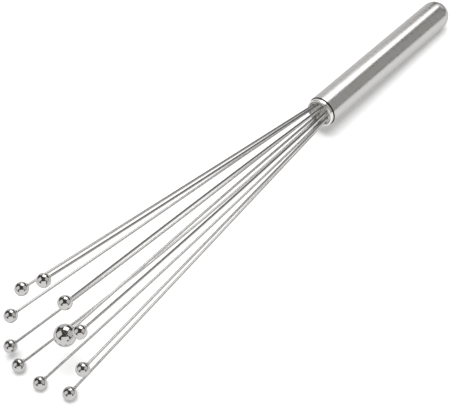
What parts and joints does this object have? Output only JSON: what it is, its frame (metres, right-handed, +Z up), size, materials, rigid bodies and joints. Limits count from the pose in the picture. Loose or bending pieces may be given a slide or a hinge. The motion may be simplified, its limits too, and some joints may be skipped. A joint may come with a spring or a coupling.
{
  "type": "ball whisk",
  "caption": "Ball whisk: round steel tube handle with a domed end, a polished collar, and a ring of spring wires around a centre wire, each wire ending in a polished ball.",
  "frame": {"origin": "centre of the bounding box's bottom face: the surface on which the whisk lies at rest, on its domed handle end and its lowest outer balls", "axes": "+Z up from the surface, -Y towards the balls, +Y towards the domed end of the handle, X across the whisk. The handle's axis climbs about 2.9 degrees from the dome towards the balls."},
  "size_m": [0.0471, 0.3177, 0.0626],
  "materials": {
    "brushed_tube": "satin stainless steel, brushed along the tube",
    "brushed_dome": "satin stainless steel, buffed round the dome",
    "polished_collar": "polished stainless steel",
    "holder_steel": "dull steel, in the shade of the collar",
    "spring_wire": "drawn and polished stainless spring wire",
    "polished_ball": "mirror polished stainless steel"
  },
  "bodies": {
    "handle": {"handle_tube": "brushed_tube", "end_cap": "brushed_dome", "collar_ring": "polished_collar", "wire_holder": "holder_steel"},
    "spring_01": {"wire_01": "spring_wire", "ball_01": "polished_ball"},
    "spring_02": {"wire_02": "spring_wire", "ball_02": "polished_ball"},
    "spring_03": {"wire_03": "spring_wire", "ball_03": "polished_ball"},
    "spring_04": {"wire_04": "spring_wire", "ball_04": "polished_ball"},
    "spring_05": {"wire_05": "spring_wire", "ball_05": "polished_ball"},
    "spring_06": {"wire_06": "spring_wire", "ball_06": "polished_ball"},
    "spring_07": {"wire_07": "spring_wire", "ball_07": "polished_ball"},
    "spring_08": {"wire_08": "spring_wire", "ball_08": "polished_ball"},
    "spring_09": {"wire_09": "spring_wire", "ball_09": "polished_ball"},
    "spring_10": {"wire_10": "spring_wire", "ball_10": "polished_ball"},
    "centre_spring": {"centre_wire": "spring_wire", "centre_ball": "polished_ball"}
  },
  "joints": [
    {"name": "flex_01", "type": "hinge", "parent": "handle", "child": "spring_01", "pos_m": [0.00532, 0.05037, 0.01328], "axis": [0.0872, 0.0507, 0.9949], "range_deg": [-2, 4], "stiffness_Nm_per_rad": 0.41},
    {"name": "flex_02", "type": "hinge", "parent": "handle", "child": "spring_02", "pos_m": [0.00436, 0.0505, 0.01591], "axis": [-0.7986, 0.0307, 0.601], "range_deg": [-2, 4], "stiffness_Nm_per_rad": 0.41, "springref_deg": 0.4},
    {"name": "flex_03", "type": "hinge", "parent": "handle", "child": "spring_03", "pos_m": [0.00202, 0.05058, 0.01749], "axis": [-0.9511, 0.0157, 0.3086], "range_deg": [-2, 4], "stiffness_Nm_per_rad": 0.41, "springref_deg": 0.52},
    {"name": "flex_04", "type": "hinge", "parent": "handle", "child": "spring_04", "pos_m": [-0.00079, 0.05058, 0.01739], "axis": [-0.9994, -0.0018, -0.0349], "range_deg": [-2, 4], "stiffness_Nm_per_rad": 0.41, "springref_deg": 0.52},
    {"name": "flex_05", "type": "hinge", "parent": "handle", "child": "spring_05", "pos_m": [-0.003, 0.05049, 0.01566], "axis": [-0.7986, -0.0307, -0.601], "range_deg": [-2, 4], "stiffness_Nm_per_rad": 0.41, "springref_deg": 0.4},
    {"name": "flex_06", "type": "hinge", "parent": "handle", "child": "spring_06", "pos_m": [-0.00378, 0.05035, 0.01296], "axis": [-0.1736, -0.0502, -0.9835], "range_deg": [-2, 4], "stiffness_Nm_per_rad": 0.41, "springref_deg": 0.11},
    {"name": "flex_07", "type": "hinge", "parent": "handle", "child": "spring_07", "pos_m": [-0.00282, 0.05022, 0.01032], "axis": [0.6157, -0.0401, -0.787], "range_deg": [-2, 4], "stiffness_Nm_per_rad": 0.4, "springref_deg": -0.34},
    {"name": "flex_08", "type": "hinge", "parent": "handle", "child": "spring_08", "pos_m": [-0.00049, 0.05014, 0.00875], "axis": [0.7986, -0.0307, -0.601], "range_deg": [-2, 4], "stiffness_Nm_per_rad": 0.39, "springref_deg": 2.35},
    {"name": "flex_09", "type": "hinge", "parent": "handle", "child": "spring_09", "pos_m": [0.00232, 0.05014, 0.00885], "axis": [0.9976, -0.0036, -0.0697], "range_deg": [-2, 4], "stiffness_Nm_per_rad": 0.39, "springref_deg": 2.64},
    {"name": "flex_10", "type": "hinge", "parent": "handle", "child": "spring_10", "pos_m": [0.00454, 0.05023, 0.01058], "axis": [0.866, 0.0255, 0.4994], "range_deg": [-2, 4], "stiffness_Nm_per_rad": 0.4, "springref_deg": 1.95},
    {"name": "centre_flex", "type": "hinge", "parent": "handle", "child": "centre_spring", "pos_m": [0.00077, 0.05036, 0.01312], "axis": [0.5736, 0.0417, 0.8181], "range_deg": [-2, 2], "stiffness_Nm_per_rad": 0.43, "springref_deg": -0.69}
  ]
}
